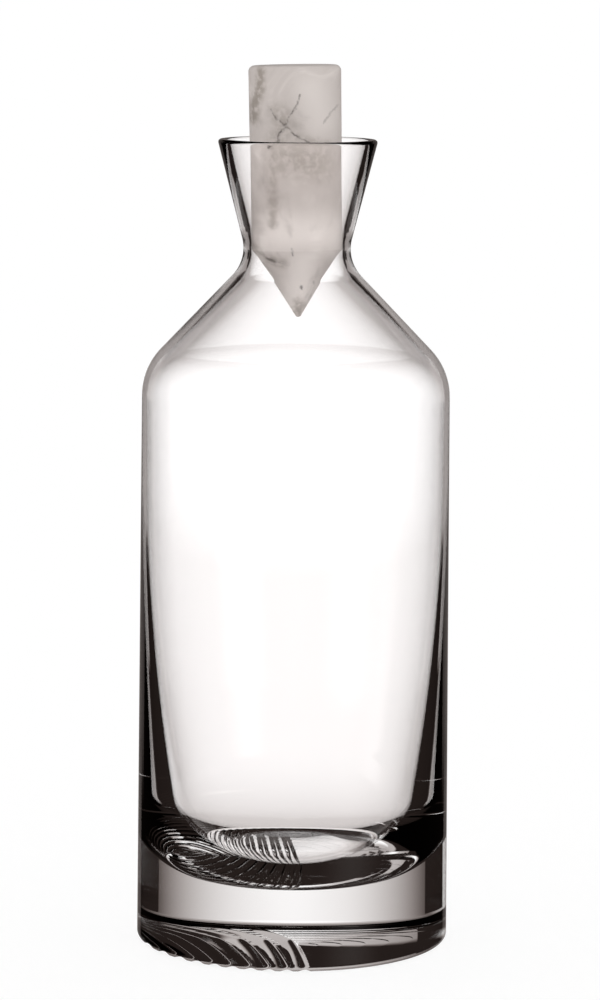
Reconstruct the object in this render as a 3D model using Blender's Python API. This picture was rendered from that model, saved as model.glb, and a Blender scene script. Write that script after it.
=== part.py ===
"""Whisky bottle: a blown clear glass bottle with a thick solid foot, and a turned marble stopper.

Metres, +Z up. The origin is the middle of the foot, on the surface that the bottle stands on.
-Y is the front and +X is to the right of it. Both pieces are turned about Z, and the underside of
the foot is cut with shallow rings and, over its left half, with a fan of flutes from front to back.
"""

import math

import bmesh
import bpy
from mathutils import Matrix, Vector

MM = 0.001

# Driving sizes of the stopper
STOPPER_TOP_RADIUS = 13.85 * MM
STOPPER_LOW_RADIUS = 13.6 * MM
STOPPER_BARREL = 54.7 * MM
STOPPER_CONE = 21.6 * MM
STOPPER_TOP_ROUNDING = 1.8 * MM
STOPPER_TIP_ROUNDING = 1.0 * MM
STOPPER_LEAN = math.radians(-1.2)
SEAT_CLEARANCE = 0.2 * MM

# Driving sizes of the neck
WAIST_WALL = 2.3 * MM
WAIST_ROUNDING = 12.0 * MM
BORE_STRAIGHT = 5.3 * MM
FUNNEL_ROUNDING = 20.0 * MM
FLARE_HEIGHT = 32.6 * MM
FLARE_ANGLE = math.radians(14.4)
RIM_ROUNDING = 0.9 * MM

# Driving sizes of the body
FOOT_RADIUS = 47.4 * MM
BODY_TOP_RADIUS = 46.3 * MM
SHOULDER_HEIGHT = 174.4 * MM
SHOULDER_ANGLE = math.radians(43.8)
SHOULDER_ROUNDING = 20.0 * MM
SHOULDER_WALL = 1.4 * MM
TAPER_START = 140.0 * MM
BOWL_TOP = 46.0 * MM
BOWL_RADIUS = 38.0 * MM
BOWL_SHAPE = 0.7
FLOOR_HEIGHT = 20.6 * MM
FOOT_ROUNDING = 2.1 * MM

# Driving sizes of the cuts under the foot
FOOT_RING_WIDTH = 4.8 * MM
RING_PITCH = 4.65 * MM
RING_RELIEF = 0.3 * MM
RING_CLIMB = 0.15 * MM
RING_RECESS = 0.06 * MM
FLUTE_PITCH = 4.75 * MM
FLUTE_LAND = 0.5 * MM
FLUTE_DEPTH = 0.9 * MM
FLUTE_BELLY = 1.0 * MM
FLUTE_CREST = 0.5
FLUTE_BOW = 1.3
FAN_EDGE = -2.6 * MM
FAN_LEAN = -0.09
FAN_SPREAD = -0.011
RUN_OUT = 0.9
CUTTER_OVERRUN = 1.5 * MM
CUTTER_SKIM = 0.02 * MM

# Fineness of the mesh
SEGMENTS = 56
ARC_TOLERANCE = 0.08 * MM
TAPER_STEPS = 7
BOWL_STEPS = 7
FLUTE_STEPS = 14
FLUTE_ARCH_POINTS = 7

# Sizes that follow
BORE_RADIUS = STOPPER_LOW_RADIUS + SEAT_CLEARANCE
WAIST_RADIUS = BORE_RADIUS + WAIST_WALL
CONE_LENGTH = (BODY_TOP_RADIUS - WAIST_RADIUS) / math.sin(SHOULDER_ANGLE)
INNER_SHOULDER_ANGLE = SHOULDER_ANGLE + math.atan((WAIST_WALL - SHOULDER_WALL) / CONE_LENGTH)
CAVITY_RADIUS = BODY_TOP_RADIUS - SHOULDER_WALL
DOME_RADIUS = FOOT_RADIUS - FOOT_RING_WIDTH
RING_COUNT = int(DOME_RADIUS / RING_PITCH)


def clear_scene():
    for obj in list(bpy.data.objects):
        bpy.data.objects.remove(obj, do_unlink=True)


def waist_corner(narrow_radius, rounding, angle_below):
    """Where the straight flare and the straight shoulder would meet, measured from the narrowest point."""
    half_turn = (FLARE_ANGLE + angle_below) / 2
    tilt = (FLARE_ANGLE - angle_below) / 2
    reach = rounding / math.cos(half_turn)
    return Vector((narrow_radius + rounding - reach * math.cos(tilt), reach * math.sin(tilt)))


def waist_height():
    """Height of the narrowest point of the neck, from the outer shoulder cone that carries it."""
    corner = waist_corner(WAIST_RADIUS, WAIST_ROUNDING, SHOULDER_ANGLE)
    return SHOULDER_HEIGHT + (BODY_TOP_RADIUS - corner.x) / math.tan(SHOULDER_ANGLE) - corner.y


def arc_steps(radius, turn):
    """How many straight steps follow an arc to within the tolerance."""
    widest = 2 * math.acos(max(1 - ARC_TOLERANCE / radius, 0))
    return max(2, math.ceil(abs(turn) / widest))


def rounded_outline(corners):
    """Points (radius, height) along straight runs between corners, with each rounding drawn as an arc."""
    points = []
    for index, (radius, height, rounding) in enumerate(corners):
        corner = Vector((radius, height))
        if rounding == 0:
            points.append(corner)
            continue
        before = (Vector(corners[index - 1][:2]) - corner).normalized()
        after = (Vector(corners[index + 1][:2]) - corner).normalized()
        half_angle = before.angle(after) / 2
        centre = corner + (before + after).normalized() * rounding / math.sin(half_angle)
        spoke = corner + before * rounding / math.tan(half_angle) - centre
        turn = math.copysign(math.pi - 2 * half_angle, before.cross(after))
        steps = arc_steps(rounding, turn)
        for step in range(steps + 1):
            points.append(centre + Matrix.Rotation(-turn * step / steps, 2) @ spoke)
    return points


def taper_turn():
    """How far the inside of the wall has turned in from upright where the round bowl begins."""
    drop = TAPER_START - BOWL_TOP
    inset = CAVITY_RADIUS - BOWL_RADIUS
    return 2 * math.atan(inset / drop)


def taper_points():
    """The inside of the wall below its straight part: one long arc that thickens the wall downwards."""
    arc_radius = (TAPER_START - BOWL_TOP) / math.sin(taper_turn())
    points = []
    for step in range(TAPER_STEPS):
        turn = taper_turn() * step / TAPER_STEPS
        radius = CAVITY_RADIUS - arc_radius * (1 - math.cos(turn))
        points.append((radius, TAPER_START - arc_radius * math.sin(turn), 0))
    return points


def bowl_points():
    """The round bottom of the hollow: part of an ellipse, from the wall in to the flat floor.

    The ellipse is BOWL_SHAPE times as wide as it is deep, and starts at the slope that the wall ends with.
    """
    start = math.atan(math.tan(taper_turn()) / BOWL_SHAPE)
    depth = (BOWL_TOP - FLOOR_HEIGHT) / (1 - math.sin(start))
    width = BOWL_SHAPE * depth
    floor_radius = BOWL_RADIUS - width * math.cos(start)
    points = []
    for step in range(BOWL_STEPS + 1):
        turn = start + (math.pi / 2 - start) * step / BOWL_STEPS
        radius = floor_radius + width * math.cos(turn)
        points.append((radius, FLOOR_HEIGHT + depth * (1 - math.sin(turn)), 0))
    return points


def underside_corners():
    """The rings cut under the foot, from the middle out to the ring that the bottle stands on.

    Each ring slopes up towards the middle and then drops back a little less than it rose, like the
    teeth of a shallow saw, so that all of them together make a very shallow hollow cone.
    """
    corners = [(0, RING_RECESS + RING_COUNT * RING_CLIMB + RING_RELIEF, 0)]
    for ring in range(RING_COUNT - 1, -1, -1):
        outer_radius = DOME_RADIUS - ring * RING_PITCH
        outer_height = RING_RECESS + ring * RING_CLIMB
        corners.append((outer_radius - RING_PITCH, outer_height + RING_RELIEF, 0))
        corners.append((outer_radius, outer_height, 0))
    corners.append((DOME_RADIUS, 0, 0))
    return corners


def glass_corners():
    """The bottle's whole section: underside, outside, rim, and the inside down to the middle of its floor."""
    waist = waist_height()
    rim = waist + FLARE_HEIGHT
    outer = waist_corner(WAIST_RADIUS, WAIST_ROUNDING, SHOULDER_ANGLE)
    bore_rounding = WAIST_ROUNDING + WAIST_WALL
    bore_bottom = waist - bore_rounding * math.tan(INNER_SHOULDER_ANGLE / 2)
    outer_rim_radius = outer.x + (FLARE_HEIGHT - outer.y) * math.tan(FLARE_ANGLE)
    inner_rim_radius = BORE_RADIUS + (FLARE_HEIGHT - BORE_STRAIGHT) * math.tan(FLARE_ANGLE)
    inner_shoulder = bore_bottom - (CAVITY_RADIUS - BORE_RADIUS) / math.tan(INNER_SHOULDER_ANGLE)
    return (
        underside_corners()
        + [
            (FOOT_RADIUS, 0, FOOT_ROUNDING),
            (BODY_TOP_RADIUS, SHOULDER_HEIGHT, SHOULDER_ROUNDING),
            (outer.x, waist + outer.y, WAIST_ROUNDING),
            (outer_rim_radius, rim, RIM_ROUNDING),
            (inner_rim_radius, rim, RIM_ROUNDING),
            (BORE_RADIUS, waist + BORE_STRAIGHT, FUNNEL_ROUNDING),
            (BORE_RADIUS, bore_bottom, bore_rounding),
            (CAVITY_RADIUS, inner_shoulder, SHOULDER_ROUNDING - SHOULDER_WALL),
        ]
        + taper_points()
        + bowl_points()
        + [(0, FLOOR_HEIGHT, 0)]
    )


def stopper_corners():
    """The stopper's section, from its tip up. Height 0 is its widest seated edge, in the bottle's waist."""
    return [
        (0, -STOPPER_CONE, 0),
        (STOPPER_LOW_RADIUS, 0, 0),
        (STOPPER_TOP_RADIUS, STOPPER_BARREL, STOPPER_TOP_ROUNDING),
        (0, STOPPER_BARREL, 0),
    ]


def blunt_tip(corners):
    """The same section with its sharp lower end turned to a small ball."""
    edge_radius, edge_height, _ = corners[1]
    half_angle = math.atan2(edge_radius, edge_height - corners[0][1])
    centre = corners[0][1] + STOPPER_TIP_ROUNDING / math.sin(half_angle)
    sweep = math.pi / 2 - half_angle
    steps = arc_steps(STOPPER_TIP_ROUNDING, sweep)
    ball = []
    for step in range(steps + 1):
        turn = sweep * step / steps
        radius = STOPPER_TIP_ROUNDING * math.sin(turn)
        ball.append((radius, centre - STOPPER_TIP_ROUNDING * math.cos(turn), 0))
    return ball + corners[1:]


def turned_object(name, corners, material):
    """A closed solid of revolution about Z."""
    shape = bmesh.new()
    verts = [shape.verts.new((point.x, 0, point.y)) for point in rounded_outline(corners)]
    edges = [shape.edges.new(pair) for pair in zip(verts, verts[1:])]
    bmesh.ops.spin(
        shape,
        geom=verts + edges,
        axis=(0, 0, 1),
        cent=(0, 0, 0),
        steps=SEGMENTS,
        angle=math.tau,
        use_merge=True,
    )
    bmesh.ops.remove_doubles(shape, verts=shape.verts, dist=0.001 * MM)
    bmesh.ops.recalc_face_normals(shape, faces=shape.faces)
    return object_from(name, shape, material)


def object_from(name, shape, material=None):
    mesh = bpy.data.meshes.new(name)
    shape.to_mesh(mesh)
    shape.free()
    mesh.shade_smooth()
    mesh.set_sharp_from_angle(angle=math.radians(30))
    if material:
        mesh.materials.append(material)
    obj = bpy.data.objects.new(name, mesh)
    bpy.context.scene.collection.objects.link(obj)
    return obj


def cone_height(radius):
    """Height of the shallow cone through the rings' outer edges."""
    rings_in = (DOME_RADIUS - radius) / RING_PITCH
    return RING_CLIMB * min(max(rings_in, 0), RING_COUNT)


def ridge_place(index, y):
    """How far to the right the ridge of that number stands at y. The ridges fan out towards the front."""
    return FAN_EDGE + FAN_LEAN * y - index * (FLUTE_PITCH + FAN_SPREAD * y)


def flute_depth(y):
    """A flute is deepest under the middle of the foot, and runs out almost to nothing at the back."""
    belly = FLUTE_BELLY * (1 - min(abs(y) / FOOT_RADIUS, 1) ** FLUTE_BOW)
    return (FLUTE_DEPTH + belly) * (1 - RUN_OUT * min(max(y / FOOT_RADIUS, 0), 1))


def arch_height(share):
    """The arch across a flute, 0 at both edges and 1 at its crest, and flat where it meets the right ridge."""
    if share < FLUTE_CREST:
        return math.sin(math.pi / 2 * share / FLUTE_CREST)
    return math.cos(math.pi / 2 * (share - FLUTE_CREST) / (1 - FLUTE_CREST)) ** 2


def flute_section(shape, index, y):
    """One cross-section of a flute's cutter: an arch over the flute's width, open well below the foot.

    The arch's edges start a hair under the cone, so that no face of the cutter lies in a face of the foot.
    """
    left = ridge_place(index, y) + FLUTE_LAND / 2
    right = ridge_place(index - 1, y) - FLUTE_LAND / 2
    depth = flute_depth(y)
    outline = [(left, -CUTTER_OVERRUN)]
    for point in range(FLUTE_ARCH_POINTS):
        share = point / (FLUTE_ARCH_POINTS - 1)
        x = left + share * (right - left)
        base = cone_height(math.hypot(x, y)) - CUTTER_SKIM
        outline.append((x, base + depth * arch_height(share)))
    outline.append((right, -CUTTER_OVERRUN))
    return [shape.verts.new((x, y, z)) for x, z in outline]


def flute_cutter():
    """All the flutes' cutters, side by side from the fan's right edge to the left side of the foot."""
    shape = bmesh.new()
    reach = FOOT_RADIUS + CUTTER_OVERRUN
    count = int((FOOT_RADIUS + FAN_EDGE) / FLUTE_PITCH) + 1
    for index in range(count):
        sections = []
        for step in range(FLUTE_STEPS + 1):
            y = reach * (2 * step / FLUTE_STEPS - 1)
            sections.append(flute_section(shape, index, y))
        for near, far in zip(sections, sections[1:]):
            for a, b in zip(range(len(near)), [*range(1, len(near)), 0]):
                shape.faces.new((near[a], near[b], far[b], far[a]))
        shape.faces.new(sections[0])
        shape.faces.new(sections[-1])
    bmesh.ops.recalc_face_normals(shape, faces=shape.faces)
    cutter = object_from("flute_cutter", shape)
    cutter.hide_render = True
    cutter.display_type = "WIRE"
    return cutter


def plain_material(name, colour, roughness, transmission=0.0, ior=1.5):
    material = bpy.data.materials.new(name)
    material.use_nodes = True
    shader = material.node_tree.nodes["Principled BSDF"]
    shader.inputs["Base Color"].default_value = (*colour, 1)
    shader.inputs["Roughness"].default_value = roughness
    shader.inputs["Metallic"].default_value = 0
    shader.inputs["Transmission Weight"].default_value = transmission
    shader.inputs["IOR"].default_value = ior
    return material


def make_bottle():
    """Soda-lime or crystal glass: blown, with a smooth skin, and cut under the foot."""
    glass = plain_material("clear glass", (0.97, 0.96, 0.97), 0.0, transmission=1.0, ior=1.52)
    bottle = turned_object("glass_bottle", glass_corners(), glass)
    cuts = bottle.modifiers.new("flutes under the foot", "BOOLEAN")
    cuts.operation = "DIFFERENCE"
    cuts.solver = "EXACT"
    cuts.object = flute_cutter()


def make_stopper():
    """Marble: turned and honed. It stands loose in the waist, leaning a little to the left."""
    marble = plain_material("honed marble", (0.54, 0.51, 0.49), 0.45)
    stopper = turned_object("marble_stopper", blunt_tip(stopper_corners()), marble)
    stopper.location = (0, 0, waist_height())
    stopper.rotation_euler = (0, STOPPER_LEAN, 0)


clear_scene()
make_bottle()
make_stopper()
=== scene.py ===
# %% [markdown]
# A whisky bottle is blown in clear glass, with a thick solid foot, and closed by a marble stopper.
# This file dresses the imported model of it: first the camera, then the glass, the stone and the light.
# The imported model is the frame. It fixes where each piece is, and nothing here moves it.

# %% Load the frame
import math

import bmesh
import bpy
from mathutils import Matrix, Vector


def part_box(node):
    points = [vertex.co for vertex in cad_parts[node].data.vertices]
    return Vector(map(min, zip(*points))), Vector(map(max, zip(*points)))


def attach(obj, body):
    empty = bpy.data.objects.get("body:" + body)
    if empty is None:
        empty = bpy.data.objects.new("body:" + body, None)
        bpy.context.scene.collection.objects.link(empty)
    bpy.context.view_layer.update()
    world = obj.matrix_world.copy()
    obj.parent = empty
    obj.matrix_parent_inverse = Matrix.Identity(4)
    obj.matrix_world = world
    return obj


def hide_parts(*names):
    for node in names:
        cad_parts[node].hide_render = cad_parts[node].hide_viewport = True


MM = 0.001

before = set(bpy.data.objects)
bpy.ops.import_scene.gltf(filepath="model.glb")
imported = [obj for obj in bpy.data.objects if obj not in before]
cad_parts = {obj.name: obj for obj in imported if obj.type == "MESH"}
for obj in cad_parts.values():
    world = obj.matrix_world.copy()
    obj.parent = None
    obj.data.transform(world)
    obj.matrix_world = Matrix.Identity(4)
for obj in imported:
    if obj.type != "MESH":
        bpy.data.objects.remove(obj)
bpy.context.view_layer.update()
glass_low, glass_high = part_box("glass_bottle")
stone_low, stone_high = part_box("marble_stopper")
print("the bottle is", round((glass_high.z - glass_low.z) / MM, 1), "mm high")
print("the stopper is", round((stone_high.z - stone_low.z) / MM, 1), "mm long as it leans in the neck")

# %% [markdown]
# The photograph looks down on the bottle a little, from about 1.2 m away. Its rim and its foot are seen as
# ellipses, and how flat each one is gives the camera's height above it. Two such heights fix the camera.
# A long lens keeps the sides of the bottle almost parallel, as in the photograph.

# %% Camera
CAMERA_PLACE = Vector((1.5, -1192.3, 295.1)) * MM
CAMERA_DIP = math.radians(7.67)
CAMERA_ROLL = math.radians(0.47)
CAMERA_REACH = 100
LENS = 143.2
SENSOR = 36.0


def make_camera():
    data = bpy.data.cameras.new("camera")
    data.lens = LENS
    data.sensor_width = SENSOR
    data.clip_end = CAMERA_REACH
    camera = bpy.data.objects.new("camera", data)
    bpy.context.scene.collection.objects.link(camera)
    aim = Matrix.Rotation(math.pi / 2 - CAMERA_DIP, 4, "X") @ Matrix.Rotation(CAMERA_ROLL, 4, "Z")
    camera.matrix_world = Matrix.Translation(CAMERA_PLACE) @ aim
    bpy.context.scene.camera = camera
    return camera


camera = make_camera()
print("the camera stands", round(-camera.location.y, 3), "m in front of the bottle")

# %% [markdown]
# Colours are written as the hex values that a paint program shows, and one function turns them into the
# linear numbers that a shader works in. One more function adds a node, sets it up, links it and gives back
# what comes out of it. Each step of a shader's arithmetic is one call of it, so that a line reads as a node.

# %% Colours and nodes
def linear(hex_colour):
    """The linear colour of an sRGB hex value such as "#BCB2AF"."""
    channels = []
    for place in (1, 3, 5):
        value = int(hex_colour[place:place + 2], 16) / 255
        channels.append(value / 12.92 if value <= 0.04045 else ((value + 0.055) / 1.055) ** 2.4)
    return (*channels, 1.0)


def add_node(tree, kind, inputs=(), output=0, **settings):
    """Adds a node and gives one of its outputs. Inputs are values or sockets, in order or by name."""
    made = tree.nodes.new(kind)
    for name, value in settings.items():
        setattr(made, name, value)
    named = inputs if isinstance(inputs, dict) else dict(enumerate(inputs))
    for name, value in named.items():
        if isinstance(value, bpy.types.NodeSocket):
            tree.links.new(value, made.inputs[name])
        else:
            made.inputs[name].default_value = value
    return made.outputs[output] if made.outputs else made


def blank_material(name):
    """A new material with nothing in it but a Principled shader and its output."""
    material = bpy.data.materials.new(name)
    material.use_nodes = True
    return material, material.node_tree.nodes["Principled BSDF"]


print("a mid marble grey is", [round(value, 3) for value in linear("#BCB2AF")])

# %% [markdown]
# Both pieces were turned: the glass in a mould and on the pipe, the stone on a lathe. So each is drawn as
# half of its section and spun about Z. A Screw modifier would do the same, but a spin leaves a plain mesh
# that can be cut afterwards. A section is a list of corners, each with a radius, a height and a rounding,
# and the roundings are drawn as true arcs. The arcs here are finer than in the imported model, because glass
# shows every flat on its skin as a bent reflection.

# %% Turned pieces
SEGMENTS = 192
ARC_TOLERANCE = 0.01 * MM
FEWEST_ARC_STEPS = 4
MERGE_DISTANCE = 0.0005 * MM
SHARP_FROM = math.radians(25)


def arc_steps(radius, turn):
    """How many straight steps follow an arc to within the tolerance."""
    widest = 2 * math.acos(max(1 - ARC_TOLERANCE / radius, 0))
    return max(FEWEST_ARC_STEPS, math.ceil(abs(turn) / widest))


def rounded_outline(corners):
    """Points (radius, height) along straight runs between corners, with each rounding drawn as an arc."""
    points = []
    for index, (radius, height, rounding) in enumerate(corners):
        corner = Vector((radius, height))
        if rounding == 0:
            points.append(corner)
            continue
        before = (Vector(corners[index - 1][:2]) - corner).normalized()
        after = (Vector(corners[index + 1][:2]) - corner).normalized()
        half_angle = before.angle(after) / 2
        centre = corner + (before + after).normalized() * rounding / math.sin(half_angle)
        spoke = corner + before * rounding / math.tan(half_angle) - centre
        turn = math.copysign(math.pi - 2 * half_angle, before.cross(after))
        steps = arc_steps(rounding, turn)
        for step in range(steps + 1):
            points.append(centre + Matrix.Rotation(-turn * step / steps, 2) @ spoke)
    return points


def shade_round(mesh):
    """Shades a mesh smooth and keeps its real edges sharp."""
    mesh.shade_smooth()
    mesh.set_sharp_from_angle(angle=SHARP_FROM)


def piece_from(name, shape):
    """A round-shaded object from a bmesh."""
    mesh = bpy.data.meshes.new(name)
    shape.to_mesh(mesh)
    shape.free()
    shade_round(mesh)
    piece = bpy.data.objects.new(name, mesh)
    bpy.context.scene.collection.objects.link(piece)
    return piece


def turned_piece(name, outline):
    """A closed solid of revolution about Z."""
    shape = bmesh.new()
    verts = [shape.verts.new((point.x, 0, point.y)) for point in outline]
    edges = [shape.edges.new(pair) for pair in zip(verts, verts[1:])]
    bmesh.ops.spin(
        shape,
        geom=verts + edges,
        axis=(0, 0, 1),
        cent=(0, 0, 0),
        steps=SEGMENTS,
        angle=math.tau,
        use_merge=True,
    )
    bmesh.ops.remove_doubles(shape, verts=shape.verts, dist=MERGE_DISTANCE)
    bmesh.ops.recalc_face_normals(shape, faces=shape.faces)
    return piece_from(name, shape)


print("a rounding of 2 mm through a right angle takes", arc_steps(2 * MM, math.pi / 2), "steps")

# %% [markdown]
# The bottle's section starts under the foot, goes up the outside, over the rim and down the inside to the
# floor of the hollow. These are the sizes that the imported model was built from, so the fine skin lies in the
# same place. Only the inside of the neck is matched a little closer to the photograph, by half a millimetre.
# There a funnel leads down into a short straight bore, and the bore opens into the shoulder's inner cone.
# The wall gets thicker towards the foot along one long arc, as it does where a heavy base is left on a blown
# bottle, and the hollow ends in a round bowl.

# %% Section of the bottle
BORE_RADIUS = 13.8 * MM
WAIST_WALL = 2.3 * MM
WAIST_ROUNDING = 12.0 * MM
BORE_STRAIGHT = 4.8 * MM
BORE_DROP = 6.3 * MM
BORE_ROUNDING = 12.0 * MM
CONE_DROP = 37.1 * MM
FUNNEL_ROUNDING = 20.0 * MM
FUNNEL_ANGLE = math.radians(15.3)
FLARE_HEIGHT = 32.6 * MM
FLARE_ANGLE = math.radians(14.4)
RIM_ROUNDING = 0.9 * MM
FOOT_RADIUS = glass_high.x
BODY_TOP_RADIUS = 46.3 * MM
SHOULDER_HEIGHT = 174.4 * MM
SHOULDER_ANGLE = math.radians(43.8)
SHOULDER_ROUNDING = 20.0 * MM
SHOULDER_WALL = 1.4 * MM
TAPER_START = 140.0 * MM
BOWL_TOP = 46.0 * MM
BOWL_RADIUS = 38.0 * MM
BOWL_SHAPE = 0.7
FLOOR_HEIGHT = 20.6 * MM
FOOT_ROUNDING = 2.1 * MM
TAPER_STEPS = 60
BOWL_STEPS = 48

RIM_HEIGHT = glass_high.z
WAIST_HEIGHT = RIM_HEIGHT - FLARE_HEIGHT
WAIST_RADIUS = BORE_RADIUS + WAIST_WALL
CAVITY_RADIUS = BODY_TOP_RADIUS - SHOULDER_WALL


def waist_corner(narrow_radius, rounding, angle_below):
    """Where the straight flare and the straight shoulder would meet, measured from the narrowest point."""
    half_turn = (FLARE_ANGLE + angle_below) / 2
    tilt = (FLARE_ANGLE - angle_below) / 2
    reach = rounding / math.cos(half_turn)
    return Vector((narrow_radius + rounding - reach * math.cos(tilt), reach * math.sin(tilt)))


def taper_corners(full_turn):
    """The inside of the wall below its straight part, as one long arc down to the bowl."""
    arc_radius = (TAPER_START - BOWL_TOP) / math.sin(full_turn)
    corners = []
    for step in range(TAPER_STEPS):
        turn = full_turn * step / TAPER_STEPS
        radius = CAVITY_RADIUS - arc_radius * (1 - math.cos(turn))
        corners.append((radius, TAPER_START - arc_radius * math.sin(turn), 0))
    return corners


def bowl_corners(wall_turn):
    """The round bottom of the hollow: part of an ellipse that starts at the slope the wall ends with."""
    start = math.atan(math.tan(wall_turn) / BOWL_SHAPE)
    depth = (BOWL_TOP - FLOOR_HEIGHT) / (1 - math.sin(start))
    width = BOWL_SHAPE * depth
    floor_radius = BOWL_RADIUS - width * math.cos(start)
    corners = []
    for step in range(BOWL_STEPS + 1):
        turn = start + (math.pi / 2 - start) * step / BOWL_STEPS
        radius = floor_radius + width * math.cos(turn)
        corners.append((radius, FLOOR_HEIGHT + depth * (1 - math.sin(turn)), 0))
    return corners


def outside_corners():
    outer = waist_corner(WAIST_RADIUS, WAIST_ROUNDING, SHOULDER_ANGLE)
    rim_radius = outer.x + (FLARE_HEIGHT - outer.y) * math.tan(FLARE_ANGLE)
    return [
        (FOOT_RADIUS, 0, FOOT_ROUNDING),
        (BODY_TOP_RADIUS, SHOULDER_HEIGHT, SHOULDER_ROUNDING),
        (outer.x, WAIST_HEIGHT + outer.y, WAIST_ROUNDING),
        (rim_radius, RIM_HEIGHT, RIM_ROUNDING),
    ]


def inside_corners():
    """From the rim down the funnel, the bore, the shoulder's inner cone and the wall to the bowl's floor."""
    funnel_radius = BORE_RADIUS + (FLARE_HEIGHT - BORE_STRAIGHT) * math.tan(FUNNEL_ANGLE)
    wall_turn = 2 * math.atan((CAVITY_RADIUS - BOWL_RADIUS) / (TAPER_START - BOWL_TOP))
    return [
        (funnel_radius, RIM_HEIGHT, RIM_ROUNDING),
        (BORE_RADIUS, WAIST_HEIGHT + BORE_STRAIGHT, FUNNEL_ROUNDING),
        (BORE_RADIUS, WAIST_HEIGHT - BORE_DROP, BORE_ROUNDING),
        (CAVITY_RADIUS, WAIST_HEIGHT - CONE_DROP, SHOULDER_ROUNDING - SHOULDER_WALL),
        *taper_corners(wall_turn),
        *bowl_corners(wall_turn),
        (0, FLOOR_HEIGHT, 0),
    ]


print("the wall is", round((FOOT_RADIUS - BOWL_RADIUS) / MM, 1), "mm thick beside the top of the bowl")

# %% [markdown]
# Under the foot a cutter has ground rings about 5 mm apart, each sloping up towards the middle, so that the
# foot is a very shallow hollow cone. They are what breaks up the light in the base.

# %% Rings under the foot
FOOT_RING_WIDTH = 4.8 * MM
RING_PITCH = 4.65 * MM
RING_RELIEF = 0.3 * MM
RING_CLIMB = 0.15 * MM
RING_RECESS = 0.06 * MM
CONE_RADIUS = FOOT_RADIUS - FOOT_RING_WIDTH
RING_COUNT = int(CONE_RADIUS / RING_PITCH)


def underside_corners():
    """From the middle of the foot out to the ring that the bottle stands on."""
    corners = [(0, RING_RECESS + RING_COUNT * RING_CLIMB + RING_RELIEF, 0)]
    for ring in range(RING_COUNT - 1, -1, -1):
        outer_radius = CONE_RADIUS - ring * RING_PITCH
        outer_height = RING_RECESS + ring * RING_CLIMB
        corners.append((outer_radius - RING_PITCH, outer_height + RING_RELIEF, 0))
        corners.append((outer_radius, outer_height, 0))
    corners.append((CONE_RADIUS, 0, 0))
    return corners


bottle = turned_piece(
    "clear_glass_bottle",
    rounded_outline(underside_corners() + outside_corners() + inside_corners()),
)
print("the turned bottle has", len(bottle.data.polygons), "faces")

# %% [markdown]
# Over the left half of the foot runs a fan of flutes, ground in with a wheel from the front edge. Each one
# is deepest under the middle and runs out almost to nothing at the back. A bump map could only shade them,
# but here light goes through them, so a Boolean cuts them into the glass and leaves narrow ridges between.

# %% Flutes under the foot
FLUTE_PITCH = 4.75 * MM
FLUTE_LAND = 0.5 * MM
FLUTE_DEPTH = 0.9 * MM
FLUTE_BELLY = 1.0 * MM
FLUTE_CREST = 0.5
FLUTE_BOW = 1.3
FAN_EDGE = -2.6 * MM
FAN_LEAN = -0.09
FAN_SPREAD = -0.011
RUN_OUT = 0.9
CUTTER_OVERRUN = 1.5 * MM
CUTTER_SKIM = 0.02 * MM
FLUTE_STEPS = 40
FLUTE_ARCH_POINTS = 17


def cone_height(radius):
    """Height of the shallow cone through the rings' outer edges."""
    rings_in = (CONE_RADIUS - radius) / RING_PITCH
    return RING_CLIMB * min(max(rings_in, 0), RING_COUNT)


def ridge_place(index, y):
    """How far to the right the ridge of that number stands at y. The ridges fan out towards the front."""
    return FAN_EDGE + FAN_LEAN * y - index * (FLUTE_PITCH + FAN_SPREAD * y)


def flute_depth(y):
    belly = FLUTE_BELLY * (1 - min(abs(y) / FOOT_RADIUS, 1) ** FLUTE_BOW)
    return (FLUTE_DEPTH + belly) * (1 - RUN_OUT * min(max(y / FOOT_RADIUS, 0), 1))


def arch_height(share):
    """The arch across a flute: 0 at its edges, 1 at its crest, and flat where it meets the right ridge."""
    if share < FLUTE_CREST:
        return math.sin(math.pi / 2 * share / FLUTE_CREST)
    return math.cos(math.pi / 2 * (share - FLUTE_CREST) / (1 - FLUTE_CREST)) ** 2


def flute_section(shape, index, y):
    """One cross-section of a flute's cutter: an arch over the flute's width, open well below the foot."""
    left = ridge_place(index, y) + FLUTE_LAND / 2
    right = ridge_place(index - 1, y) - FLUTE_LAND / 2
    depth = flute_depth(y)
    outline = [(left, -CUTTER_OVERRUN)]
    for point in range(FLUTE_ARCH_POINTS):
        share = point / (FLUTE_ARCH_POINTS - 1)
        x = left + share * (right - left)
        base = cone_height(math.hypot(x, y)) - CUTTER_SKIM
        outline.append((x, base + depth * arch_height(share)))
    outline.append((right, -CUTTER_OVERRUN))
    return [shape.verts.new((x, y, z)) for x, z in outline]


def flute_cutter():
    shape = bmesh.new()
    reach = FOOT_RADIUS + CUTTER_OVERRUN
    count = int((FOOT_RADIUS + FAN_EDGE) / FLUTE_PITCH) + 1
    for index in range(count):
        sections = []
        for step in range(FLUTE_STEPS + 1):
            sections.append(flute_section(shape, index, reach * (2 * step / FLUTE_STEPS - 1)))
        for near, far in zip(sections, sections[1:]):
            for a, b in zip(range(len(near)), [*range(1, len(near)), 0]):
                shape.faces.new((near[a], near[b], far[b], far[a]))
        shape.faces.new(sections[0])
        shape.faces.new(sections[-1])
    bmesh.ops.recalc_face_normals(shape, faces=shape.faces)
    return piece_from("flute_cutter", shape)


def cut_away(piece, cutter):
    """Takes the cutter's shape out of the piece for good, and removes the cutter."""
    cut = piece.modifiers.new("cut", "BOOLEAN")
    cut.operation = "DIFFERENCE"
    cut.solver = "EXACT"
    cut.object = cutter
    evaluated = piece.evaluated_get(bpy.context.evaluated_depsgraph_get())
    mesh = bpy.data.meshes.new_from_object(evaluated)
    piece.modifiers.clear()
    piece.data = mesh
    shade_round(mesh)
    bpy.data.objects.remove(cutter)


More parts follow.
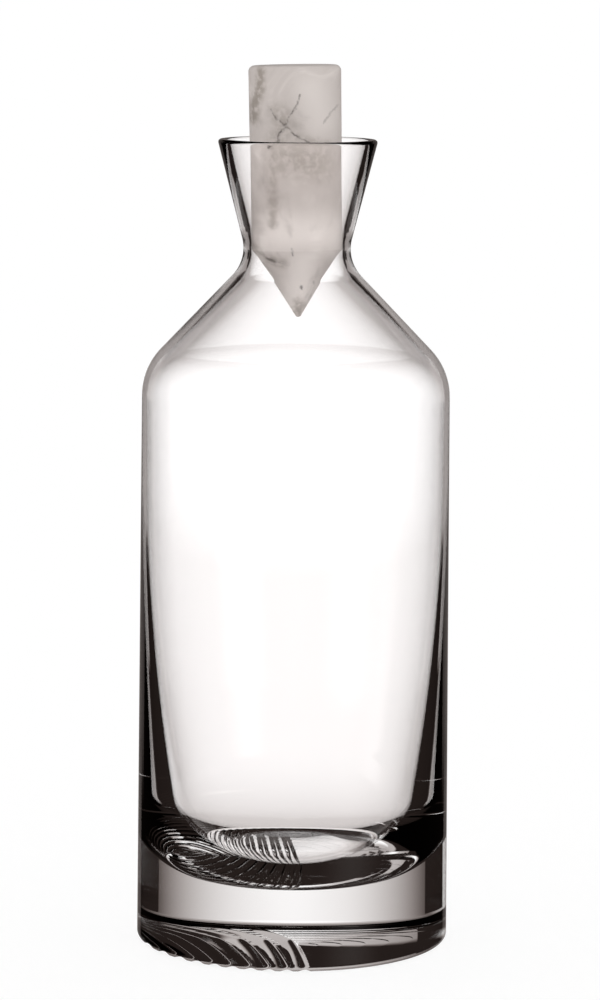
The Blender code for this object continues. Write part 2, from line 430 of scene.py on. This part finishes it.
cut_away(bottle, flute_cutter())
print("with its flutes the bottle has", len(bottle.data.polygons), "faces")

# %% [markdown]
# Clear bottle glass is soda-lime glass, fire polished on the outside, so its skin is perfectly smooth and
# mirrors sharply. It bends light with an IOR of 1.52 and has almost no colour. Each pass through its skin
# takes a trace of green and blue, which adds up where light crosses the foot many times.

# %% Fire-polished clear glass
GLASS_TINT = "#FFFEFE"
GLASS_IOR = 1.52


def clear_glass():
    material, shader = blank_material("fire_polished_clear_glass")
    shader.inputs["Base Color"].default_value = linear(GLASS_TINT)
    shader.inputs["Roughness"].default_value = 0.0
    shader.inputs["IOR"].default_value = GLASS_IOR
    shader.inputs["Transmission Weight"].default_value = 1.0
    return material


bottle.data.materials.clear()
bottle.data.materials.append(clear_glass())
print("glass:", bottle.data.materials[0].name)

# %% [markdown]
# The stopper is a plain cylinder of pale marble with a cone below, like a fat pencil. It drops into the neck
# until the edge above the cone sits in the waist, where it leans a little to the left. It is turned like the
# bottle, around its own axis, and then leant as one piece, so that its section stays simple.

# %% Marble stopper
STOPPER_TOP_RADIUS = 13.85 * MM
STOPPER_LOW_RADIUS = 13.6 * MM
STOPPER_BARREL = 54.65 * MM
STOPPER_CONE = 21.6 * MM
STOPPER_TOP_ROUNDING = 1.8 * MM
STOPPER_TIP_ROUNDING = 1.0 * MM
STOPPER_EDGE_ROUNDING = 0.25 * MM
STOPPER_LEAN = math.radians(-1.2)


def stopper_outline():
    """From the small ball at the tip, up the cone and the barrel, to the middle of the top."""
    half_angle = math.atan2(STOPPER_LOW_RADIUS, STOPPER_CONE)
    centre = STOPPER_TIP_ROUNDING / math.sin(half_angle) - STOPPER_CONE
    sweep = math.pi / 2 - half_angle
    steps = arc_steps(STOPPER_TIP_ROUNDING, sweep)
    ball = []
    for step in range(steps + 1):
        turn = sweep * step / steps
        radius = STOPPER_TIP_ROUNDING * math.sin(turn)
        ball.append((radius, centre - STOPPER_TIP_ROUNDING * math.cos(turn), 0))
    return rounded_outline(ball + [
        (STOPPER_LOW_RADIUS, 0, STOPPER_EDGE_ROUNDING),
        (STOPPER_TOP_RADIUS, STOPPER_BARREL, STOPPER_TOP_ROUNDING),
        (0, STOPPER_BARREL, 0),
    ])


stopper = turned_piece("veined_marble_stopper", stopper_outline())
stopper.location = (0, 0, WAIST_HEIGHT)
stopper.rotation_euler = (0, STOPPER_LEAN, 0)
print("the stopper has", len(stopper.data.polygons), "faces")

# %% [markdown]
# The stone is a pale warm grey marble, sawn, turned and honed to a soft sheen, which scatters light and
# shows no clear reflections. Its colour drifts in clouds a centimetre or so across, and thin darker veins
# run through it. A vein is a sheet that goes right through the stone, so each one here is drawn as a line on
# the front and runs straight back from there. Smoke and pale patches are lines too, wide and soft ones. A few
# of them are painted light and shade: painted shade just below the glass rim, and painted light low in the
# neck and along the cone. Darker lines also run at the left edge of the barrel and the left of the cone. An
# image wrapped round the stone would stop at its skin, and would have to be unwrapped round the cone.
# Widths and points are in millimetres, the points to the right of the axis and up from the barrel's edge.

# %% Veins, smoke, pale patches, painted shade and painted light
VEINS = {
    "left arm of the cross": {
        "width": 0.5, "strength": 0.6, "points": [(-7.2, 41.8), (-5.5, 39.3), (-3.0, 37.1)],
    },
    "right arm of the cross": {
        "width": 0.55, "strength": 0.75,
        "points": [(-3.0, 37.1), (-0.3, 34.4), (3.0, 32.7), (5.8, 31.1), (9.1, 30.9)],
    },
    "top of the cross": {
        "width": 0.5, "strength": 0.7, "points": [(1.7, 46.2), (0.1, 42.6), (-1.9, 39.3), (-3.0, 37.1)],
    },
    "foot of the cross": {
        "width": 0.7, "strength": 0.9, "points": [(-3.0, 37.1), (-4.9, 34.0), (-5.6, 31.9), (-7.9, 30.3)],
    },
    "knot": {"width": 0.9, "strength": 0.8, "points": [(-3.3, 37.6), (-2.7, 36.6)]},
    "right edge": {"width": 0.6, "strength": 0.3, "points": [(12.5, 42.6), (10.4, 41.0), (8.3, 37.7)]},
    "crack in the cone": {"width": 0.5, "strength": 0.5, "points": [(-1.5, 1.0), (-1.2, -1.5)]},
    "bar in the cone": {"width": 0.6, "strength": 0.7, "points": [(-8.4, -2.4), (-6.2, -3.8), (-3.9, -4.3)]},
    "speck": {"width": 0.6, "strength": 0.8, "points": [(1.1, -11.4), (1.2, -12.2)]},
    "second speck": {"width": 0.4, "strength": 0.6, "points": [(4.8, -10.4), (4.8, -10.7)]},
}
# Smoke in the stone, darker lines at the left edges, and painted shade just below the glass rim.
SMOKE_AND_PAINTED_SHADE = {
    "left edge": {
        "width": 2.6, "strength": 0.85,
        "points": [(-10.0, 52.9), (-10.5, 47.2), (-12.0, 43.4), (-12.2, 38.9)],
    },
    "round the cross": {"width": 5.0, "strength": 0.5, "points": [(-5.0, 41.0), (-3.0, 37.1), (-5.2, 33.0)]},
    "right of the cross": {"width": 2.4, "strength": 0.4, "points": [(1.0, 33.6), (9.0, 31.4)]},
    # Painted shade: the stone is drawn darker just below the glass rim.
    "painted shade below the rim": {"width": 9.0, "strength": 0.55, "points": [(-3.0, 27.0), (6.0, 26.0)]},
    "streak down the barrel": {"width": 2.4, "strength": 0.5, "points": [(-6.8, 30.3), (-6.5, 8.4)]},
    "side of the cone": {
        "width": 2.4, "strength": 0.6, "points": [(-12.3, 1.4), (-7.6, -3.1), (-4.0, -4.4)],
    },
    "tip": {"width": 3.4, "strength": 0.6, "points": [(0.0, -17.0), (0.2, -21.0)]},
}
# Pale patches in the stone, and painted light low in the neck and along the cone.
PALE_PATCHES_AND_PAINTED_LIGHT = {
    "upper right": {"width": 9.0, "strength": 0.4, "points": [(5.0, 48.0), (8.0, 38.0)]},
    # Painted light: the stone is drawn paler low in the neck and along the cone.
    "painted light above the edge": {"width": 12.0, "strength": 1.0, "points": [(-5.0, 5.0), (11.0, 4.5)]},
    "painted light down the cone": {"width": 9.0, "strength": 0.9, "points": [(2.0, -3.0), (0.5, -16.0)]},
}
print("lines drawn through the stone:", len(VEINS) + len(SMOKE_AND_PAINTED_SHADE) + len(PALE_PATCHES_AND_PAINTED_LIGHT))

# %% [markdown]
# A drawn line is a smooth fall from full colour on the line to nothing at its width. Noise bends the lines,
# once at the size of a vein's turns and once at the size of the grain, and breaks them up along their way.
# The colours are then laid over each other, from the pale clouds to the dark veins.

# %% Honed marble
MARBLE_BODY = "#CAC1BC"
# The cloud colour also paints the light low in the neck and along the cone.
MARBLE_CLOUD_AND_PAINTED_LIGHT = "#F0E8E3"
MARBLE_SHADE = "#B2A9A4"
# The smoke colour also paints the shade below the glass rim.
MARBLE_SMOKE_AND_PAINTED_SHADE = "#A1978F"
MARBLE_VEIN = "#6F6763"
MARBLE_ROUGHNESS = 0.42
MARBLE_IOR = 1.5
CLOUD_SIZE = 15 * MM
CLOUD_DETAIL = 6
CLOUD_DISTORTION = 0.8
CLOUD_SHARE = 0.5
CLOUD_MIDDLE = 0.5
CLOUD_LIGHT = 0.75
CLOUD_DARK = 0.25
WOBBLE_SIZE = 3.5 * MM
WOBBLE = 1.6 * MM
WOBBLE_DETAIL = 2
GRAIN_SIZE = 0.9 * MM
GRAIN = 0.7 * MM
GAP_SIZE = 2 * GRAIN_SIZE
GAP_DETAIL = 3
GAP_START = 0.3
GAP_END = 0.6
NOISE_ROUGHNESS = 0.55
NOISE_MIDDLE = (0.5, 0.5, 0.5)
LEAST_SMOKE_AND_PAINTED_SHADE = 0.3
LEAST_VEIN = 0.25


def near_line(tree, place, start, end, width):
    """1 on the line from start to end, and 0 further from it than the width."""
    start = Vector((start[0], 0, start[1])) * MM
    run = Vector((end[0], 0, end[1])) * MM - start
    offset = add_node(tree, "ShaderNodeVectorMath", (place, start), operation="SUBTRACT")
    ahead = add_node(tree, "ShaderNodeVectorMath", (offset, run), "Value", operation="DOT_PRODUCT")
    share = add_node(
        tree, "ShaderNodeMath", (ahead, run.length_squared), operation="DIVIDE", use_clamp=True
    )
    on_line = add_node(tree, "ShaderNodeVectorMath", {0: run, "Scale": share}, operation="SCALE")
    away = add_node(tree, "ShaderNodeVectorMath", (offset, on_line), operation="SUBTRACT")
    distance = add_node(tree, "ShaderNodeVectorMath", (away,), "Value", operation="LENGTH")
    return add_node(
        tree,
        "ShaderNodeMapRange",
        {"Value": distance, "From Min": width * MM, "From Max": 0.0},
        interpolation_type="SMOOTHSTEP",
    )


def drawn_share(tree, place, lines):
    """How much of the lines' colour shows at a place: that of whichever line is strongest there."""
    shown = 0.0
    for line in lines.values():
        for start, end in zip(line["points"], line["points"][1:]):
            near = near_line(tree, place, start, end, line["width"])
            near = add_node(tree, "ShaderNodeMath", (near, line["strength"]), operation="MULTIPLY")
            shown = add_node(tree, "ShaderNodeMath", (near, shown), operation="MAXIMUM")
    return shown


def wobbled(tree, place, size, reach):
    """The place, pushed about by noise of that size by up to about half the reach."""
    noise = add_node(
        tree,
        "ShaderNodeTexNoise",
        {"Vector": place, "Scale": 1 / size, "Detail": WOBBLE_DETAIL, "Roughness": NOISE_ROUGHNESS},
        "Color",
    )
    push = add_node(tree, "ShaderNodeVectorMath", (noise, NOISE_MIDDLE), operation="SUBTRACT")
    push = add_node(tree, "ShaderNodeVectorMath", {0: push, "Scale": reach}, operation="SCALE")
    return add_node(tree, "ShaderNodeVectorMath", (place, push), operation="ADD")


def cloud_shares(tree, place):
    """Where the stone is paler, where it is darker, and where its lines show without a gap."""
    clouds = add_node(
        tree,
        "ShaderNodeTexNoise",
        {
            "Vector": place,
            "Scale": 1 / CLOUD_SIZE,
            "Detail": CLOUD_DETAIL,
            "Roughness": NOISE_ROUGHNESS,
            "Distortion": CLOUD_DISTORTION,
        },
    )
    grains = add_node(
        tree,
        "ShaderNodeTexNoise",
        {"Vector": place, "Scale": 1 / GAP_SIZE, "Detail": GAP_DETAIL, "Roughness": NOISE_ROUGHNESS},
    )
    shares = []
    for value, start, end in (
        (clouds, CLOUD_MIDDLE, CLOUD_LIGHT),
        (clouds, CLOUD_MIDDLE, CLOUD_DARK),
        (grains, GAP_START, GAP_END),
    ):
        shares.append(add_node(
            tree,
            "ShaderNodeMapRange",
            {"Value": value, "From Min": start, "From Max": end},
            interpolation_type="SMOOTHSTEP",
        ))
    return shares


def honed_marble():
    material, shader = blank_material("honed_grey_marble")
    tree = material.node_tree
    place = add_node(tree, "ShaderNodeTexCoord", output="Object")
    bent = wobbled(tree, wobbled(tree, place, WOBBLE_SIZE, WOBBLE), GRAIN_SIZE, GRAIN)
    flat = add_node(tree, "ShaderNodeVectorMath", (bent, (1, 0, 1)), operation="MULTIPLY")
    paler, darker, unbroken = cloud_shares(tree, place)
    paler = add_node(tree, "ShaderNodeMath", (paler, CLOUD_SHARE), operation="MULTIPLY")
    # The pale patches also paint the light low in the neck and along the cone.
    patches = drawn_share(tree, flat, PALE_PATCHES_AND_PAINTED_LIGHT)
    paler = add_node(tree, "ShaderNodeMath", (paler, patches), operation="MAXIMUM")
    layers = [(paler, MARBLE_CLOUD_AND_PAINTED_LIGHT), (darker, MARBLE_SHADE)]
    # The smoke layer also paints the shade below the glass rim.
    for lines, least, hex_colour in ((SMOKE_AND_PAINTED_SHADE, LEAST_SMOKE_AND_PAINTED_SHADE, MARBLE_SMOKE_AND_PAINTED_SHADE), (VEINS, LEAST_VEIN, MARBLE_VEIN)):
        shown = add_node(tree, "ShaderNodeMath", (unbroken, least), operation="ADD")
        drawn = drawn_share(tree, flat, lines)
        shown = add_node(tree, "ShaderNodeMath", (drawn, shown), operation="MULTIPLY")
        layers.append((shown, hex_colour))
    colour = linear(MARBLE_BODY)
    for share, hex_colour in layers:
        colour = add_node(
            tree,
            "ShaderNodeMix",
            {"Factor": share, 6: colour, 7: linear(hex_colour)},
            2,
            data_type="RGBA",
        )
    tree.links.new(colour, shader.inputs["Base Color"])
    shader.inputs["Roughness"].default_value = MARBLE_ROUGHNESS
    shader.inputs["IOR"].default_value = MARBLE_IOR
    return material


stopper.data.materials.append(honed_marble())
print("stone:", stopper.data.materials[0].name)

# %% [markdown]
# Clear glass has no colour of its own to show, so it is lit as a glass photographer lights it: a white
# sheet behind the bottle and black at both sides. The glass gathers the white through its middle, and its
# edges bend towards the black, which draws their dark outlines. Lamps or glowing planes could do this, but
# sheets in the world can be shown to the glass alone. They stay where they are when the camera walks round,
# and further ones on other sides, low down and on the table serve the views from there.
# Black cards close beside the bottle would hide the outer part of a sheet from all light that has been
# mirrored on the way, on the skin of the glass or inside it. So mirrored light sees narrower sheets.
# All numbers of a sheet but its glow are degrees. It stands toward 0 behind the bottle, or 90 on its right.
# It fades from its middle to nothing at its reach, and is cut off at its edge. Its lowest and highest edge
# are given from the level, and it fades in above the one and out below the other. One with a reach of many
# turns doesn't fade sideways.

# %% White sheets
SHEETS = {
    "behind": {
        "reach": 60, "edge": 47, "lowest": -95, "highest": 7, "fade_in": 80, "fade_out": 11, "glow": 0.85,
    },
    "high behind": {
        "reach": 50, "edge": 47, "lowest": -31, "highest": 7, "fade_in": 25, "fade_out": 11, "glow": 0.98,
    },
    "table behind and beside": {
        "reach": 900, "edge": 90, "lowest": -95, "highest": -40, "fade_in": 4, "fade_out": 6, "glow": 0.56,
    },
    "wall above": {
        "reach": 75, "edge": 75, "lowest": -7, "highest": 14, "fade_in": 6, "fade_out": 10, "glow": 0.52,
    },
    "top of the wall": {
        "reach": 90, "edge": 75, "lowest": -7, "highest": 36, "fade_in": 6, "fade_out": 10, "glow": 0.28,
    },
    "left of it": {
        "toward": -45, "reach": 46, "edge": 46, "lowest": -31, "highest": -16, "fade_in": 3, "fade_out": 3,
        "glow": 1.0,
    },
    "table left of it": {
        "toward": -50, "reach": 80, "edge": 26, "lowest": -95, "highest": -24, "fade_in": 70, "fade_out": 3,
        "glow": 0.9,
    },
    "low on the left": {
        "toward": -90, "reach": 60, "edge": 18, "lowest": -95, "highest": -5, "fade_in": 70, "fade_out": 3,
        "glow": 0.95,
    },
    "on the left": {
        "toward": -90, "reach": 50, "edge": 50, "lowest": -9, "highest": 10, "fade_in": 2, "fade_out": 4,
        "glow": 1.0,
    },
    "front right": {
        "toward": 135, "reach": 56, "edge": 47, "lowest": -95, "highest": 2, "fade_in": 70, "fade_out": 4,
        "glow": 0.98,
    },
    "in front": {
        "toward": 180, "reach": 60, "edge": 26, "lowest": -95, "highest": 7, "fade_in": 80, "fade_out": 11,
        "glow": 0.85,
    },
}
MIRRORED_SHEETS = {
    "behind": {
        "reach": 24, "edge": 24, "lowest": -34, "highest": 3, "fade_in": 3, "fade_out": 3, "glow": 1.0,
    },
    "foot of the wall": {
        "reach": 90, "edge": 19, "lowest": -34, "highest": -18, "fade_in": 4, "fade_out": 2, "glow": 0.5,
    },
    "low on the wall": {
        "reach": 90, "edge": 24, "lowest": -21, "highest": -10, "fade_in": 2, "fade_out": 2, "glow": 0.5,
    },
    "on the wall": {
        "reach": 90, "edge": 30, "lowest": -13, "highest": -3, "fade_in": 2, "fade_out": 2, "glow": 0.5,
    },
    "wall above": {
        "reach": 90, "edge": 41, "lowest": -6, "highest": 19, "fade_in": 2, "fade_out": 5, "glow": 0.45,
    },
    "on the left": {
        "toward": -90, "reach": 27, "edge": 27, "lowest": -9, "highest": 10, "fade_in": 2, "fade_out": 4,
        "glow": 1.0,
    },
    "front right": {
        "toward": 135, "reach": 27, "edge": 27, "lowest": -28, "highest": 2, "fade_in": 4, "fade_out": 4,
        "glow": 1.0,
    },
}
print("white sheets round the bottle:", ", ".join(SHEETS))

# %% [markdown]
# A world shader is asked for the light from one direction at a time. The direction's height and its turn
# away from a sheet's middle say how much of that sheet is seen, and the brightest sheet wins.

# %% Light of the sheets
BLACK_CARD = 0.016
EDGE_FADE = 1
BACK_STARTS = -0.35
BACK_ENDS = -0.1


def sheet_glow(tree, direction, elevation, reach, edge, lowest, highest, fade_in, fade_out, glow, toward=0):
    """How bright one white sheet is in a direction. It is brightest in its middle and fades to its sides."""
    turn = math.radians(toward)
    facing = (math.sin(turn), math.cos(turn), 0)
    beside = (math.cos(turn), -math.sin(turn), 0)
    ahead = add_node(tree, "ShaderNodeVectorMath", (direction, facing), "Value", operation="DOT_PRODUCT")
    across = add_node(tree, "ShaderNodeVectorMath", (direction, beside), "Value", operation="DOT_PRODUCT")
    sideways = add_node(tree, "ShaderNodeMath", (across,), operation="ARCSINE")
    off_middle = add_node(tree, "ShaderNodeMath", (sideways,), operation="ABSOLUTE")
    shown = glow
    for value, start, end in (
        (off_middle, math.radians(reach), 0.0),
        (off_middle, math.radians(edge + EDGE_FADE), math.radians(edge)),
        (ahead, BACK_STARTS, BACK_ENDS),
        (elevation, math.radians(lowest), math.radians(lowest + fade_in)),
        (elevation, math.radians(highest), math.radians(highest - fade_out)),
    ):
        part = add_node(
            tree,
            "ShaderNodeMapRange",
            {"Value": value, "From Min": start, "From Max": end},
            interpolation_type="SMOOTHSTEP",
        )
        shown = add_node(tree, "ShaderNodeMath", (shown, part), operation="MULTIPLY")
    return shown


def brightest(tree, direction, elevation, sheets):
    """The glow of whichever sheet is brightest in a direction, over the black card."""
    glow = BLACK_CARD
    for sheet in sheets.values():
        shown = sheet_glow(tree, direction, elevation, **sheet)
        glow = add_node(tree, "ShaderNodeMath", (shown, glow), operation="MAXIMUM")
    return glow


print("between the sheets the black cards glow at", BLACK_CARD)

# %% [markdown]
# A ray's path says what it has met. Light mirrored on the outside of the glass shows only a share of its
# sheets, so that no streaks lie over the clear body. Each skin of glass mirrors some light away, and a
# little gain makes up for it. The stone and the table are lit by plain soft light from all round, a bit less
# of it from the sides, and the camera sees plain white behind everything. The greys in the glass are faintly
# warm in the photograph, so the dimmer the light here, the warmer it is.

# %% World
SOFT_LIGHT = 1.12
SOFT_LIGHT_AT_SIDES = 0.85
LIGHT_GAIN = 1.09
STONE_GAIN = 1.14
MOST_SKINS = 4
OUTSIDE_SHARE = 0.35
WARM_GREEN = 1.08
WARM_BLUE = 1.11
# A depth counts whole steps, so half a step parts none from one.
BEFORE_FIRST = 0.5


def sheets_seen(tree, direction):
    """The sheets in a direction, for light that came straight and for light that was mirrored."""
    height = add_node(tree, "ShaderNodeVectorMath", (direction, (0, 0, 1)), "Value", operation="DOT_PRODUCT")
    elevation = add_node(tree, "ShaderNodeMath", (height,), operation="ARCSINE")
    mirrors = add_node(tree, "ShaderNodeLightPath", output="Glossy Depth")
    mirrored = add_node(tree, "ShaderNodeMath", (mirrors, BEFORE_FIRST), operation="GREATER_THAN")
    skins = add_node(tree, "ShaderNodeLightPath", output="Transmission Depth")
    outside = add_node(tree, "ShaderNodeMath", (skins, BEFORE_FIRST), operation="LESS_THAN")
    share = add_node(tree, "ShaderNodeMix", {"Factor": outside, "A": 1.0, "B": OUTSIDE_SHARE})
    reflected = brightest(tree, direction, elevation, MIRRORED_SHEETS)
    reflected = add_node(tree, "ShaderNodeMath", (reflected, share), operation="MULTIPLY")
    straight = brightest(tree, direction, elevation, SHEETS)
    return add_node(tree, "ShaderNodeMix", {"Factor": mirrored, "A": straight, "B": reflected})


def light_strength(tree, direction, off_stone):
    """The strength of soft light on stone and table, and that of the sheets, by the skins passed."""
    passed = add_node(tree, "ShaderNodeLightPath", output="Transmission Depth")
    skins = add_node(tree, "ShaderNodeMath", (passed, MOST_SKINS), operation="MINIMUM")
    across = add_node(tree, "ShaderNodeVectorMath", (direction, (1, 0, 0)), "Value", operation="DOT_PRODUCT")
    sideways = add_node(tree, "ShaderNodeMath", (across,), operation="ABSOLUTE")
    soft = add_node(tree, "ShaderNodeMix", {"Factor": sideways, "A": SOFT_LIGHT, "B": SOFT_LIGHT_AT_SIDES})
    stone_gain = add_node(tree, "ShaderNodeMath", (STONE_GAIN, skins), operation="POWER")
    soft = add_node(tree, "ShaderNodeMath", (soft, stone_gain), operation="MULTIPLY")
    gain = add_node(tree, "ShaderNodeMath", (LIGHT_GAIN, skins), operation="POWER")
    return add_node(tree, "ShaderNodeMix", {"Factor": off_stone, "A": gain, "B": soft})


def make_world():
    world = bpy.data.worlds.new("studio")
    bpy.context.scene.world = world
    world.use_nodes = True
    world.cycles.sampling_method = "NONE"
    tree = world.node_tree
    tree.nodes.clear()
    direction = add_node(tree, "ShaderNodeTexCoord", output="Generated")
    scatters = add_node(tree, "ShaderNodeLightPath", output="Diffuse Depth")
    off_stone = add_node(tree, "ShaderNodeMath", (scatters, BEFORE_FIRST), operation="GREATER_THAN")
    camera_ray = add_node(tree, "ShaderNodeLightPath", output="Is Camera Ray")
    plain_white = add_node(tree, "ShaderNodeMath", (off_stone, camera_ray), operation="MAXIMUM")
    seen = sheets_seen(tree, direction)
    glow = add_node(tree, "ShaderNodeMix", {"Factor": plain_white, "A": seen, "B": 1.0})
    green = add_node(tree, "ShaderNodeMath", (glow, WARM_GREEN), operation="POWER")
    blue = add_node(tree, "ShaderNodeMath", (glow, WARM_BLUE), operation="POWER")
    colour = add_node(tree, "ShaderNodeCombineColor", (glow, green, blue))
    strength = light_strength(tree, direction, off_stone)
    background = add_node(tree, "ShaderNodeBackground", {"Color": colour, "Strength": strength})
    add_node(tree, "ShaderNodeOutputWorld", {"Surface": background})
    return world


world = make_world()
print("the world's shader has", len(world.node_tree.nodes), "nodes")

# %% [markdown]
# The floor is a plain white table top. What the camera sees of it is mostly its own white, so it meets the
# white behind it without a line, and the bottle's shadow still falls on the rest. Seen through the glass or
# reflected in it, the floor gives way to the sheets.

# %% Floor
FLOOR_RADIUS = 30.0
FLOOR_SIDES = 64
FLOOR_DROP = 0.05 * MM
FLOOR_WHITE = "#FFFFFF"
FLOOR_GLOW = 0.8


def white_table_top():
    material = bpy.data.materials.new("white_table_top")
    material.use_nodes = True
    tree = material.node_tree
    tree.nodes.clear()
    board = add_node(tree, "ShaderNodeBsdfDiffuse", {"Color": linear(FLOOR_WHITE)})
    glow = add_node(tree, "ShaderNodeEmission", {"Color": linear(FLOOR_WHITE)})
    camera_ray = add_node(tree, "ShaderNodeLightPath", output="Is Camera Ray")
    glow_share = add_node(tree, "ShaderNodeMath", (camera_ray, FLOOR_GLOW), operation="MULTIPLY")
    seen = add_node(tree, "ShaderNodeMixShader", (glow_share, board, glow))
    refracted = add_node(tree, "ShaderNodeLightPath", output="Is Transmission Ray")
    mirrored = add_node(tree, "ShaderNodeLightPath", output="Is Glossy Ray")
    by_glass = add_node(tree, "ShaderNodeMath", (refracted, mirrored), operation="MAXIMUM")
    clear = add_node(tree, "ShaderNodeBsdfTransparent")
    surface = add_node(tree, "ShaderNodeMixShader", (by_glass, seen, clear))
    add_node(tree, "ShaderNodeOutputMaterial", {"Surface": surface})
    return material


def make_floor():
    shape = bmesh.new()
    bmesh.ops.create_circle(shape, cap_ends=True, radius=FLOOR_RADIUS, segments=FLOOR_SIDES)
    floor = piece_from("floor", shape)
    floor.location.z = -FLOOR_DROP
    floor.data.materials.append(white_table_top())


make_floor()
bpy.context.scene.view_settings.view_transform = "Standard"
print("the floor is", 2 * FLOOR_RADIUS, "m across")

# %% [markdown]
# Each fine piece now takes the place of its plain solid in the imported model, and rides on the same body, so
# that the stopper lifts out of the neck when the model is posed.

# %% Hand the pieces to the frame
for piece, node_name, body, slot in (
    (bottle, "glass_bottle", "bottle", "glass"),
    (stopper, "marble_stopper", "stopper", "marble"),
):
    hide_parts(node_name)
    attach(piece, body)
    print(piece.name, "stands for", node_name)
